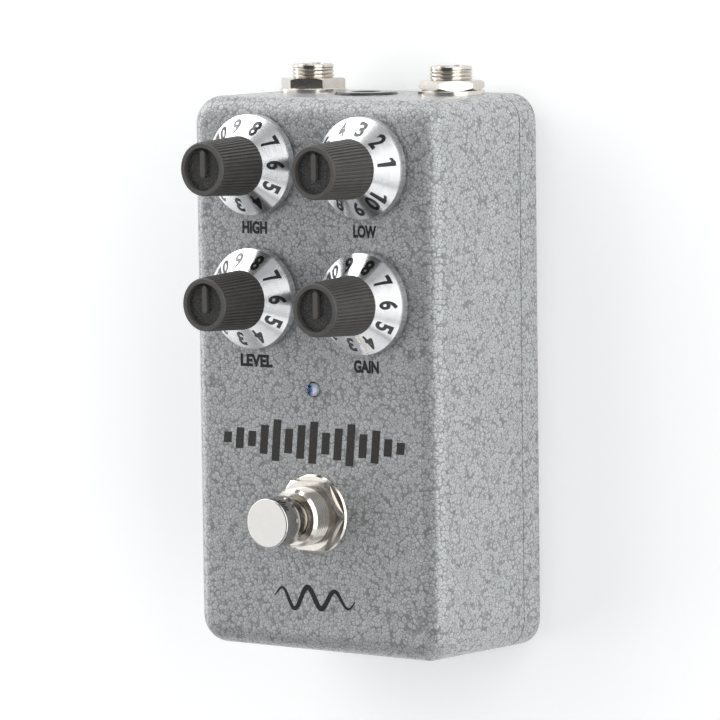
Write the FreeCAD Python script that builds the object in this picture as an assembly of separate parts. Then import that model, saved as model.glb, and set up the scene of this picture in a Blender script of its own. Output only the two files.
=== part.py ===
import FreeCAD, Part

# Guitar effects pedal: a die-cast box with four dials and a footswitch, in millimetres.
#
# Frame: +Z points up, out of the control face. +Y runs towards the end that holds the
# sockets, and +X is to the right seen from above. The origin is at the middle of the
# underside, on the plane that the rubber feet stand on.

import math
import os

from FreeCAD import Vector

# ---------------------------------------------------------------- driving dimensions

# Die-cast box
WIDTH = 66.15                # at the lid
LENGTH = 121.0               # at the control face
SOCKET_END = 57.2            # from the origin to the end wall with the sockets
HEIGHT = 39.3                # from the lid's outer face to the control face
SIDE_DRAFT = 0.12            # how far each long side leans in over that height
FOOT_DRAFT = 0.95            # how far the end by the footswitch leans in
WALL = 2.2
FACE_PLATE = 2.4
CORNER_RADIUS = 6.2
FACE_EDGE_RADIUS = 4.5
CEILING_EDGE_RADIUS = 2.0
LID_HEIGHT = 7.3
LID_PLATE = 2.4
LID_EDGE_RADIUS = 1.2
SEAM_GAP = 0.25
FOOT_HEIGHT = 2.0
FOOT_RADIUS = 5.0
FOOT_X = 22.25
FOOT_INSET_Y = 13.0
BOSS_INSET = 4.5
BOSS_RADIUS = 3.2
SCREW_RADIUS = 1.45
SCREW_HOLE_RADIUS = 1.5
SCREW_HEAD_RADIUS = 2.8
SCREW_HEAD_DEPTH = 1.6
SCREW_DEPTH = 17.0

# Sockets on the +Y end
INPUT_JACK_X = 18.7
OUTPUT_JACK_X = -18.4
JACK_ABOVE_LID = 12.3
JACK_REACH = 6.3             # from the end wall to the tip of the threaded sleeve
JACK_THREAD_RADIUS = 4.7625  # 3/8 in, 32 threads per inch
JACK_THREAD_PITCH = 25.4 / 32
JACK_BORE_RADIUS = 3.25      # takes a quarter inch plug
JACK_WASHER = 0.95
JACK_WASHER_RADIUS = 7.4
JACK_NUT = 2.2
JACK_NUT_FLATS = 12.7
JACK_FLANGE = 1.6
JACK_BODY_HALF_WIDTH = 6.5
JACK_BODY_DROP = 7.6         # from the plug's axis down to the housing's floor
JACK_BODY_RISE = 7.4
JACK_BODY_LENGTH = 22.4
PLUG_CHANNEL = 7.6           # square channel behind the sleeve
DC_ABOVE_LID = 18.0
DC_FLANGE_RADIUS = 7.0
DC_FLANGE = 0.6
DC_BARREL_RADIUS = 5.95
DC_BARREL_LENGTH = 15.0
DC_SOCKET_RADIUS = 3.2
DC_SOCKET_DEPTH = 9.6
DC_PIN_RADIUS = 1.05
DC_PIN_ROOT_RADIUS = 1.4

# Dials: two rows of two
DIAL_X = 14.7
DIAL_ROWS = (45.95, 16.75)   # measured from the middle of the box
DIAL_RADIUS = 11.1
DIAL_LIFT = 0.7              # gap between the skirt and the control face
DIAL_RIM_TOP = 2.6
KNOB_SEAT = 6.2              # where the ribbed knob meets the skirt
KNOB_TOP = 19.5
KNOB_BASE_RADIUS = 6.5
KNOB_TOP_RADIUS = 5.8
KNOB_RIBS = 48
RIB_DEPTH = 0.32
SHAFT_RADIUS = 3.0
SHAFT_FLAT = 1.5             # depth of the D flat
RUNNING_GAP = 0.06
POT_BUSH_RADIUS = 3.5        # M7
POT_NUT_FLATS = 10.0

# Footswitch
SWITCH_Y = -29.95            # measured from the middle of the box
SWITCH_BUSH_RADIUS = 6.35    # half-inch bush
SWITCH_THREAD_PITCH = 25.4 / 36
SWITCH_BUSH_TOP = 8.4
SWITCH_BORE_RADIUS = 4.0
SWITCH_NUT_FLATS = 15.0
SWITCH_WASHER_RADIUS = 8.75
SWITCH_CAP_RADIUS = 5.37
SWITCH_CAP_BOTTOM = 11.1
SWITCH_CAP_TOP = 17.6
SWITCH_BODY_HALF = 8.5

# Indicator lamp
LAMP_Y = -2.65               # measured from the middle of the box
LAMP_RADIUS = 1.5
LAMP_PROUD = 1.8

# Circuit boards
BOARD = 1.6
MAIN_BOARD_TOP = 31.0
JACK_BOARD_TOP = 23.6
SWITCH_BOARD_TOP = 20.6

# ---------------------------------------------------------------- levels and places

LID_Z = FOOT_HEIGHT
SEAM_Z = LID_Z + LID_HEIGHT
FACE_Z = LID_Z + HEIGHT
CEILING_Z = FACE_Z - FACE_PLATE
END_Y = SOCKET_END
FRONT_Y = END_Y - LENGTH
CENTRE_Y = END_Y - LENGTH / 2
END_INSIDE_Y = END_Y - WALL
JACK_Z = LID_Z + JACK_ABOVE_LID
DC_Z = LID_Z + DC_ABOVE_LID
SWITCH_PLACE_Y = CENTRE_Y + SWITCH_Y
LAMP_PLACE_Y = CENTRE_Y + LAMP_Y
DIALS = {
    "high": (-DIAL_X, CENTRE_Y + DIAL_ROWS[0]),
    "low": (DIAL_X, CENTRE_Y + DIAL_ROWS[0]),
    "level": (-DIAL_X, CENTRE_Y + DIAL_ROWS[1]),
    "gain": (DIAL_X, CENTRE_Y + DIAL_ROWS[1]),
}
JACKS = {"input": (INPUT_JACK_X, 43), "output": (OUTPUT_JACK_X, 22)}   # place, nut's turn
BOSSES = [(sx * (WIDTH / 2 - BOSS_INSET), CENTRE_Y + sy * (LENGTH / 2 - BOSS_INSET))
          for sx in (-1, 1) for sy in (-1, 1)]
UP = Vector(0, 0, 1)
ALONG_Y = Vector(0, 1, 0)


# ---------------------------------------------------------------- drawing helpers

def box(x0, x1, y0, y1, z0, z1):
    return Part.makeBox(x1 - x0, y1 - y0, z1 - z0, Vector(x0, y0, z0))


def rod(x, y, z0, z1, radius):
    """Upright cylinder."""
    return Part.makeCylinder(radius, z1 - z0, Vector(x, y, z0), UP)


def rod_y(x, z, y0, y1, radius):
    """Cylinder lying along Y."""
    return Part.makeCylinder(radius, y1 - y0, Vector(x, y0, z), ALONG_Y)


def turned(profile):
    """Solid of revolution about Z from a closed outline of (radius, height) points."""
    corners = [Vector(radius, 0, height) for radius, height in profile]
    outline = Part.makePolygon(corners + corners[:1])
    return Part.Face(outline).revolve(Vector(0, 0, 0), UP, 360)


def moved(shape, x, y, z):
    copy = shape.copy()
    copy.translate(Vector(x, y, z))
    return copy


def laid_along_y(shape, x, y, z):
    """Turn a shape made along +Z so that it points along +Y, then move it into place."""
    copy = shape.copy()
    copy.rotate(Vector(0, 0, 0), Vector(1, 0, 0), -90)
    copy.translate(Vector(x, y, z))
    return copy


def joined(shapes):
    """Fuse touching shapes into one clean solid."""
    whole = shapes[0]
    if len(shapes) > 1:
        whole = whole.fuse(list(shapes[1:]))
    return whole.removeSplitter()


def thickened(corners, along):
    """Flat outline through the corners, thickened by a vector."""
    return Part.Face(Part.makePolygon(corners + corners[:1])).extrude(along)


def prism(corners, height):
    """Upright prism over a closed outline of (x, y) corners, standing on z = 0."""
    return thickened([Vector(x, y, 0) for x, y in corners], Vector(0, 0, height))


def hex_nut(flats, thickness, bore, chamfer_base, chamfer_top, turn=0.0):
    """Hexagonal nut standing on z = 0; a chamfer is the share of the corner it takes off."""
    corner = flats / math.sqrt(3)
    angles = [math.radians(turn + 60 * k) for k in range(6)]
    nut = prism([(corner * math.cos(a), corner * math.sin(a)) for a in angles], thickness)
    slope = math.tan(math.radians(32))
    base_radius = corner - chamfer_base * (corner - flats / 2)
    top_radius = corner - chamfer_top * (corner - flats / 2)
    beyond = corner + 1
    limit = turned([(bore, 0), (base_radius, 0), (beyond, (beyond - base_radius) * slope),
                    (beyond, thickness - (beyond - top_radius) * slope),
                    (top_radius, thickness), (bore, thickness)])
    return nut.common(limit)


def thread_outline(radius, pitch, z0, z1):
    """Points up the side of a thread, drawn as rings, from z0 to z1."""
    depth = 0.5 * pitch
    count = int((z1 - z0) / pitch)
    points = [(radius, z0)]
    for k in range(count):
        foot = z1 - (count - k) * pitch
        points += [(radius, foot + 0.12 * pitch), (radius - depth, foot + 0.5 * pitch),
                   (radius, foot + 0.88 * pitch)]
    return points + [(radius, z1)]


def rounded_path(corners, bend):
    """Open path of straight runs joined by tangent arcs of one radius."""
    edges = []
    start = corners[0]
    for before, corner, after in zip(corners, corners[1:], corners[2:]):
        back = (before - corner).normalize()
        ahead = (after - corner).normalize()
        half = back.getAngle(ahead) / 2
        reach = bend / math.tan(half)
        first = corner + back * reach
        last = corner + ahead * reach
        middle_way = (back + ahead).normalize()
        middle = corner + middle_way * (bend / math.sin(half) - bend)
        edges.append(Part.LineSegment(start, first).toShape())
        edges.append(Part.Arc(first, middle, last).toShape())
        start = last
    edges.append(Part.LineSegment(start, corners[-1]).toShape())
    return Part.Wire(edges)


def round_wire(corners, bend, radius):
    """Round wire along a path."""
    path = rounded_path(corners, bend)
    direction = corners[1] - corners[0]
    section = Part.Wire(Part.makeCircle(radius, corners[0], direction))
    return path.makePipeShell([section], True, True)


def coil_spring(mean_radius, wire_radius, pitch, height):
    """Compression spring standing on z = 0, its wire centred half a wire inside each end."""
    helix = Part.makeHelix(pitch, height - 2 * wire_radius, mean_radius)
    sides = 10
    angles = [2 * math.pi * k / sides for k in range(sides + 1)]
    section = Part.makePolygon([Vector(mean_radius + wire_radius * math.cos(a), 0,
                                       wire_radius * math.sin(a)) for a in angles])
    coil = Part.Wire(helix.Edges).makePipeShell([section], True, True)
    coil.translate(Vector(0, 0, wire_radius))
    return coil


def write(name, solids):
    """Write one node; a list becomes a group of separate solids."""
    shape = solids if isinstance(solids, Part.Shape) else Part.makeCompound(list(solids))
    shape.exportStep(f"parts/{name}.step")


# ---------------------------------------------------------------- box

def half_width(z):
    return WIDTH / 2 - SIDE_DRAFT * (z - LID_Z) / HEIGHT


def foot_end_y(z):
    return FRONT_Y - FOOT_DRAFT * (FACE_Z - z) / HEIGHT


def tapered_block(inset, z0, z1, corner_radius):
    """The box's outline between two heights, drawn in from its outside by inset."""
    low, high = half_width(z0) - inset, half_width(z1) - inset
    y_low, y_high = foot_end_y(z0) + inset, foot_end_y(z1) + inset
    y_far = END_Y - inset
    across = thickened([Vector(-low, y_low, z0), Vector(low, y_low, z0),
                        Vector(high, y_low, z1), Vector(-high, y_low, z1)],
                       Vector(0, y_far - y_low, 0))
    lengthwise = thickened([Vector(-WIDTH, y_low, z0), Vector(-WIDTH, y_far, z0),
                            Vector(-WIDTH, y_far, z1), Vector(-WIDTH, y_high, z1)],
                           Vector(2 * WIDTH, 0, 0))
    block = across.common(lengthwise)
    upright = [edge for edge in block.Edges if edge.BoundBox.ZLength > (z1 - z0) * 0.9]
    return block.makeFillet(corner_radius, upright)


def edges_at(shape, z):
    return [edge for edge in shape.Edges
            if abs(edge.BoundBox.ZMin - z) < 0.01 and abs(edge.BoundBox.ZMax - z) < 0.01]


def boss_columns(z0, z1):
    return [rod(x, y, z0, z1, BOSS_RADIUS) for x, y in BOSSES]


def enclosure_shell():
    outside = tapered_block(0, SEAM_Z, FACE_Z, CORNER_RADIUS)
    outside = outside.makeFillet(FACE_EDGE_RADIUS, edges_at(outside, FACE_Z))
    inside = tapered_block(WALL, SEAM_Z - 1, CEILING_Z, CORNER_RADIUS - WALL)
    inside = inside.makeFillet(CEILING_EDGE_RADIUS, edges_at(inside, CEILING_Z))
    inside = inside.cut(boss_columns(SEAM_Z - 1, CEILING_Z))
    holes = [rod(x, y, SEAM_Z, SEAM_Z + SCREW_DEPTH, SCREW_HOLE_RADIUS) for x, y in BOSSES]
    holes += [rod(x, y, CEILING_Z - 1, FACE_Z + 1, POT_BUSH_RADIUS + 0.05)
              for x, y in DIALS.values()]
    holes.append(rod(0, SWITCH_PLACE_Y, CEILING_Z - 1, FACE_Z + 1, SWITCH_BUSH_RADIUS + 0.08))
    holes.append(rod(0, LAMP_PLACE_Y, CEILING_Z - 1, FACE_Z + 1, LAMP_RADIUS + 0.2))
    holes += [rod_y(x, JACK_Z, END_INSIDE_Y - 1, END_Y + 1, JACK_THREAD_RADIUS + 0.09)
              for x, _turn in JACKS.values()]
    holes.append(rod_y(0, DC_Z, END_INSIDE_Y - 1, END_Y + 1, DC_BARREL_RADIUS + 0.1))
    return outside.cut([inside] + holes)


def base_plate():
    """Shallow lid with a locating tongue along each long side."""
    outside = tapered_block(0, LID_Z, SEAM_Z - SEAM_GAP, CORNER_RADIUS)
    outside = outside.makeFillet(LID_EDGE_RADIUS, edges_at(outside, LID_Z))
    neck = tapered_block(SEAM_GAP, SEAM_Z - 2 * SEAM_GAP, SEAM_Z, CORNER_RADIUS - SEAM_GAP)
    floor_z = LID_Z + LID_PLATE
    pocket = tapered_block(WALL, floor_z, SEAM_Z + 1, CORNER_RADIUS - WALL)
    pocket = pocket.cut(boss_columns(floor_z, SEAM_Z + 1))
    tray = outside.fuse(neck).cut(pocket)
    tongues = []
    tongue_outer = half_width(SEAM_Z) - WALL - 0.15
    tongue_reach = LENGTH / 2 - 12
    for side in (-1, 1):
        x0, x1 = sorted((side * tongue_outer, side * (tongue_outer - 1.3)))
        tongues.append(box(x0, x1, CENTRE_Y - tongue_reach, CENTRE_Y + tongue_reach,
                           floor_z - 0.5, SEAM_Z + 1.6))
    lid = joined([tray] + tongues)
    sink = turned([(0, -0.1), (SCREW_HEAD_RADIUS + 0.1, -0.1), (SCREW_HEAD_RADIUS + 0.1, 0.2),
                   (SCREW_HOLE_RADIUS + 0.1, SCREW_HEAD_DEPTH + 0.1),
                   (SCREW_HOLE_RADIUS + 0.1, LID_HEIGHT + 1), (0, LID_HEIGHT + 1)])
    return lid.cut([moved(sink, x, y, LID_Z) for x, y in BOSSES])


def base_screw():
    """Countersunk screw, head down, with a cross recess."""
    blank = turned([(0, 0), (SCREW_HEAD_RADIUS, 0), (SCREW_HEAD_RADIUS, 0.2),
                    (SCREW_RADIUS, SCREW_HEAD_DEPTH), (SCREW_RADIUS, SCREW_DEPTH),
                    (SCREW_RADIUS - 0.5, SCREW_DEPTH + 0.5), (0, SCREW_DEPTH + 0.5)])
    arm, half = 1.6, 0.3
    cross = box(-arm, arm, -half, half, -1, 0.9).fuse(box(-half, half, -arm, arm, -1, 0.9))
    return blank.cut(cross)


def rubber_foot():
    """Round stick-on foot, a little narrower at the ground."""
    return turned([(0, 0), (FOOT_RADIUS - 0.7, 0), (FOOT_RADIUS - 0.2, 0.4),
                   (FOOT_RADIUS, FOOT_HEIGHT), (0, FOOT_HEIGHT)])


def make_box():
    write("enclosure_shell", enclosure_shell())
    write("base_plate", base_plate())
    write("base_screws", [moved(base_screw(), x, y, LID_Z) for x, y in BOSSES])
    feet = [(sx * FOOT_X, CENTRE_Y + sy * (LENGTH / 2 - FOOT_INSET_Y))
            for sx in (-1, 1) for sy in (-1, 1)]
    write("rubber_feet", [moved(rubber_foot(), x, y, 0) for x, y in feet])


# ---------------------------------------------------------------- dials

def rib_outline(radius, z):
    """Closed outline of a ribbed knob at one height."""
    step = 2 * math.pi / KNOB_RIBS
    corners = []
    for k in range(KNOB_RIBS):
        for share, depth in ((-0.17, 0), (0.17, 0), (0.36, RIB_DEPTH), (0.64, RIB_DEPTH)):
            angle = (k + share) * step
            reach = radius - depth
            corners.append(Vector(reach * math.cos(angle), reach * math.sin(angle), z))
    return Part.makePolygon(corners + corners[:1])


def d_shaft(radius, z0, z1, flat_from, flat):
    """Shaft along Z whose +X side is flat above one height."""
    shaft = rod(0, 0, z0, z1, radius)
    return shaft.cut(box(radius - flat, radius + 1, -radius, radius, flat_from, z1 + 1))


def knob_body():
    """Tapered ribbed knob with a sunk top and a raised pointer bar, z = 0 at the control face."""
    collar_z = KNOB_TOP - 0.4
    skirt = Part.makeLoft([rib_outline(KNOB_BASE_RADIUS, KNOB_SEAT),
                           rib_outline(KNOB_TOP_RADIUS, collar_z)], True, True)
    collar = turned([(0, collar_z), (KNOB_TOP_RADIUS - 0.05, collar_z),
                     (KNOB_TOP_RADIUS - 0.05, collar_z + 0.15),
                     (KNOB_TOP_RADIUS - 0.3, KNOB_TOP), (0, KNOB_TOP)])
    core_z = 3.4
    core = rod(0, 0, core_z, KNOB_SEAT, 5.3)
    well_depth, well_radius = 1.2, 4.65
    knob = joined([skirt, collar, core]).cut([
        rod(0, 0, KNOB_TOP - well_depth, KNOB_TOP + 1, well_radius),
        rod(0, 0, core_z - 1, 6.0, POT_BUSH_RADIUS + 0.4),
        d_shaft(SHAFT_RADIUS + 0.02, core_z, 15.6, 6.0, SHAFT_FLAT)])
    bar_half, bar_top = 0.62, KNOB_TOP - 0.25
    bar = box(-bar_half, bar_half, -1.2, 3.4, KNOB_TOP - well_depth - 0.2, bar_top)
    tips = [rod(0, y, KNOB_TOP - well_depth - 0.2, bar_top, bar_half) for y in (-1.2, 3.4)]
    return joined([knob, bar] + tips)


def knob_dial():
    """Aluminium skirt: a short rim and a cone that carries the numbers."""
    under = 1.1
    return turned([(5.36, KNOB_SEAT - under), (6.3, KNOB_SEAT - under), (10.1, DIAL_RIM_TOP - 0.6),
                   (10.1, DIAL_LIFT), (DIAL_RADIUS - 0.12, DIAL_LIFT),
                   (DIAL_RADIUS, DIAL_LIFT + 0.15), (DIAL_RADIUS - 0.12, DIAL_RIM_TOP - 0.12),
                   (DIAL_RADIUS - 0.28, DIAL_RIM_TOP), (6.5, KNOB_SEAT), (5.36, KNOB_SEAT)])


POT_HALF_X, POT_HALF_Y = 4.8, 5.7
POT_FLOOR_Z = MAIN_BOARD_TOP + 0.6
ROTOR_Z = (34.4, 36.2)
POT_PINS = [(dx, -4.6) for dx in (-2.5, 0, 2.5)]


def pot_shaft():
    """D-shaped shaft with the rotor that carries the wiper."""
    rotor = rod(0, 0, ROTOR_Z[0], ROTOR_Z[1], 3.7)
    shaft = d_shaft(SHAFT_RADIUS, ROTOR_Z[0], FACE_Z + 15.4, FACE_Z + 5.9, SHAFT_FLAT)
    return joined([rotor, shaft])


def pot_body():
    case = box(-POT_HALF_X, POT_HALF_X, -POT_HALF_Y, POT_HALF_Y, POT_FLOOR_Z, CEILING_Z)
    case = case.cut([rod(0, 0, ROTOR_Z[0] - 0.3, ROTOR_Z[1] + 0.3, 4.1),
                     rod(0, 0, ROTOR_Z[1], CEILING_Z + 1, SHAFT_RADIUS + RUNNING_GAP)])
    pins = [rod(dx, dy, MAIN_BOARD_TOP - BOARD - 0.8, POT_FLOOR_Z + 0.5, 0.4)
            for dx, dy in POT_PINS]
    return joined([case] + pins)


def pot_bushing():
    """Threaded bush that clamps the pot to the control face."""
    top = FACE_Z + 5.2
    pitch = 0.75
    outline = ([(SHAFT_RADIUS + RUNNING_GAP, CEILING_Z), (POT_BUSH_RADIUS, CEILING_Z)]
               + thread_outline(POT_BUSH_RADIUS, pitch, FACE_Z, top - 0.3)[1:]
               + [(SHAFT_RADIUS + RUNNING_GAP + 0.2, top), (SHAFT_RADIUS + RUNNING_GAP, top)])
    return turned(outline)


def make_dials():
    knob, dial, shaft, body, bush = (knob_body(), knob_dial(), pot_shaft(), pot_body(),
                                     pot_bushing())
    washer = turned([(POT_BUSH_RADIUS + 0.1, 0), (5.6, 0), (5.6, 0.4),
                     (POT_BUSH_RADIUS + 0.1, 0.4)])
    nut = hex_nut(POT_NUT_FLATS, 2.0, POT_BUSH_RADIUS + 0.03, 0.6, 0.9)
    places = DIALS.values()
    for name, (x, y) in DIALS.items():
        write(f"{name}_knob_body", moved(knob, x, y, FACE_Z))
        write(f"{name}_knob_dial", moved(dial, x, y, FACE_Z))
        write(f"{name}_pot_shaft", moved(shaft, x, y, 0))
        write(f"{name}_pot_body", moved(body, x, y, 0))
    write("pot_bushings", [moved(bush, x, y, 0) for x, y in places])
    write("pot_washers", [moved(washer, x, y, FACE_Z) for x, y in places])
    write("pot_nuts", [moved(nut, x, y, FACE_Z + 0.4) for x, y in places])


# ---------------------------------------------------------------- footswitch

FRAME_TOP = 36.1
STEM_RADIUS = 1.6
PLUNGER_FOOT = 41.2


def footswitch_bushing():
    """Threaded bush standing on the switch's metal frame."""
    top = FACE_Z + SWITCH_BUSH_TOP
    outline = ([(SWITCH_BORE_RADIUS, FRAME_TOP)]
               + thread_outline(SWITCH_BUSH_RADIUS, SWITCH_THREAD_PITCH, FRAME_TOP, top - 0.65)
               + [(SWITCH_BUSH_RADIUS - 0.6, top), (SWITCH_BORE_RADIUS + 0.3, top),
                  (SWITCH_BORE_RADIUS, top - 0.3)])
    return turned(outline)


def footswitch_cap():
    """Polished button with a rounded rim."""
    bottom, top = FACE_Z + SWITCH_CAP_BOTTOM, FACE_Z + SWITCH_CAP_TOP
    cap = rod(0, 0, bottom, top, SWITCH_CAP_RADIUS)
    cap = cap.makeFillet(0.5, edges_at(cap, top))
    return cap.makeFillet(0.2, edges_at(cap, bottom))


def footswitch_plunger():
    """Slides in the bush, with a thin stem that works the contacts."""
    slide_radius = SWITCH_BORE_RADIUS - 0.07
    return turned([(0, 33.0), (STEM_RADIUS, 33.0), (STEM_RADIUS, PLUNGER_FOOT),
                   (slide_radius, PLUNGER_FOOT), (slide_radius, FACE_Z + SWITCH_CAP_BOTTOM),
                   (0, FACE_Z + SWITCH_CAP_BOTTOM)])


def footswitch_frame():
    """Metal bracket folded over the body, with a hole for the stem."""
    half, sheet, skirt = SWITCH_BODY_HALF, 0.5, 9.0
    top = box(-half, half, -half, half, FRAME_TOP - sheet, FRAME_TOP)
    cheeks = [box(min(s * half, s * (half + sheet)), max(s * half, s * (half + sheet)),
                  -half + 2, half - 2, FRAME_TOP - skirt, FRAME_TOP) for s in (-1, 1)]
    return joined([top] + cheeks).cut(rod(0, 0, 30, 40, STEM_RADIUS + 0.5))


def footswitch_body():
    half = SWITCH_BODY_HALF
    block = box(-half, half, -half, half, 22.0, FRAME_TOP - 0.5)
    return block.cut(rod(0, 0, 29.5, FRAME_TOP, STEM_RADIUS + 0.5))


SWITCH_LUGS = [(dx, dy) for dx in (-4.8, 0, 4.8) for dy in (-5.2, 0, 5.2)]


def make_footswitch():
    y = SWITCH_PLACE_Y
    washer_top = 0.9
    ring = turned([(SWITCH_BUSH_RADIUS + 0.1, 0), (SWITCH_WASHER_RADIUS, 0),
                   (SWITCH_WASHER_RADIUS, 0.3), (SWITCH_WASHER_RADIUS - 0.35, 0.65),
                   (SWITCH_WASHER_RADIUS - 1.3, washer_top),
                   (SWITCH_BUSH_RADIUS + 0.1, washer_top)])
    nut = hex_nut(SWITCH_NUT_FLATS, 2.4, SWITCH_BUSH_RADIUS + 0.03, 0.3, 0.75)
    inner_nut = hex_nut(SWITCH_NUT_FLATS, 1.9, SWITCH_BUSH_RADIUS + 0.03, 0.5, 0.5)
    lock = turned([(SWITCH_BUSH_RADIUS + 0.1, 0), (8.6, 0), (8.6, 0.6),
                   (SWITCH_BUSH_RADIUS + 0.1, 0.6)])
    teeth = [box(7.9, 9.2, -0.4, 0.4, -1, 2) for _k in range(12)]
    for k, tooth in enumerate(teeth):
        tooth.rotate(Vector(0, 0, 0), UP, 30 * k)
    lock = lock.cut(teeth)
    lugs = [box(dx - 1.0, dx + 1.0, dy - 0.35, dy + 0.35, SWITCH_BOARD_TOP - BOARD - 1.2, 22.0)
            for dx, dy in SWITCH_LUGS]
    spring = coil_spring(3.1, 0.3, 1.45, PLUNGER_FOOT - FRAME_TOP - 0.1)
    for node, shape in (
            ("footswitch_cap", footswitch_cap()),
            ("footswitch_plunger", footswitch_plunger()),
            ("footswitch_bushing", footswitch_bushing()),
            ("footswitch_washer", moved(ring, 0, 0, FACE_Z)),
            ("footswitch_nut", moved(nut, 0, 0, FACE_Z + washer_top)),
            ("footswitch_lock_washer", moved(lock, 0, 0, CEILING_Z - 0.6)),
            ("footswitch_inner_nut", moved(inner_nut, 0, 0, CEILING_Z - 2.5)),
            ("footswitch_frame", footswitch_frame()),
            ("footswitch_body", footswitch_body()),
            ("footswitch_spring", moved(spring, 0, 0, FRAME_TOP + 0.05))):
        write(node, moved(shape, 0, y, 0))
    write("footswitch_lugs", [moved(lug, 0, y, 0) for lug in lugs])


# ---------------------------------------------------------------- sockets

BODY_FRONT_Y = END_INSIDE_Y - JACK_FLANGE
BODY_BACK_Y = BODY_FRONT_Y - JACK_BODY_LENGTH
SLOT_HALF = 2.2                               # open slot above the plug channel
CONTACT_ROWS = (BODY_BACK_Y + 6.5, BODY_BACK_Y + 14.5)


def jack_sleeve():
    """Threaded sleeve, z = 0 on the back of its flange."""
    tip = JACK_FLANGE + WALL + JACK_REACH
    wall_out = JACK_FLANGE + WALL
    lead_in = 0.95
    outline = ([(JACK_BORE_RADIUS, 0), (6.2, 0), (6.2, JACK_FLANGE),
                (JACK_THREAD_RADIUS, JACK_FLANGE)]
               + thread_outline(JACK_THREAD_RADIUS, JACK_THREAD_PITCH, wall_out,
                                tip - lead_in)[1:]
               + [(JACK_THREAD_RADIUS - 0.4, tip - lead_in),
                  (JACK_THREAD_RADIUS - 0.15, tip - lead_in + 0.25),
                  (JACK_THREAD_RADIUS - 0.15, tip - 0.3), (JACK_THREAD_RADIUS - 0.45, tip),
                  (JACK_BORE_RADIUS + 0.35, tip), (JACK_BORE_RADIUS, tip - 0.35)])
    return turned(outline)


def jack_body(x):
    """Housing with a square plug channel and an open slot above it for the contacts."""
    half, channel = JACK_BODY_HALF_WIDTH, PLUG_CHANNEL / 2
    top = JACK_Z + JACK_BODY_RISE
    block = box(x - half, x + half, BODY_BACK_Y, BODY_FRONT_Y, JACK_Z - JACK_BODY_DROP, top)
    back_wall = 1.5
    hollow = box(x - channel, x + channel, BODY_BACK_Y + back_wall, BODY_FRONT_Y + 1,
                 JACK_Z - channel, JACK_Z + channel)
    slot = box(x - SLOT_HALF, x + SLOT_HALF, BODY_BACK_Y + back_wall + 1, BODY_FRONT_Y - 3,
               JACK_Z, top + 1)
    return block.cut([hollow, slot])


def jack_contacts(x):
    """Leaf springs that touch the plug, each with a pin up to the socket board."""
    leaves = []
    channel_top = JACK_Z + PLUG_CHANNEL / 2
    for row in CONTACT_ROWS:
        strip, wide = 0.35, 1.3
        leaf = [box(x - wide, x + wide, row - 3.2, row + 0.2, channel_top + 1.4,
                    channel_top + 1.4 + strip)]
        slope = box(-wide, wide, 0, 3.6, 0, strip)
        slope.rotate(Vector(0, 0, 0), Vector(1, 0, 0), -25)
        leaf.append(moved(slope, x, row, channel_top + 1.4))
        leaf.append(box(x - 0.45, x + 0.45, row - 3.2, row - 2.5, channel_top + 1.4,
                        JACK_BOARD_TOP + 0.7))
        leaves.append(joined(leaf))
    return leaves


def dc_jack_body():
    """Round panel socket, z = 0 on the outside of the end wall."""
    back = DC_FLANGE - DC_BARREL_LENGTH
    floor = -DC_SOCKET_DEPTH
    shell = turned([(0, back), (DC_BARREL_RADIUS - 0.4, back), (DC_BARREL_RADIUS, back + 0.4),
                    (DC_BARREL_RADIUS, 0), (DC_FLANGE_RADIUS, 0), (DC_FLANGE_RADIUS, 0.25),
                    (DC_FLANGE_RADIUS - 0.35, DC_FLANGE), (DC_SOCKET_RADIUS + 0.25, DC_FLANGE),
                    (DC_SOCKET_RADIUS, DC_FLANGE - 0.25), (DC_SOCKET_RADIUS, floor),
                    (DC_PIN_ROOT_RADIUS, floor), (DC_PIN_ROOT_RADIUS, back + 1), (0, back + 1)])
    slot = box(-DC_SOCKET_RADIUS - 0.6, -DC_SOCKET_RADIUS + 0.4, -1.2, 1.2, floor, -2)
    return shell.cut(slot)


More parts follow.
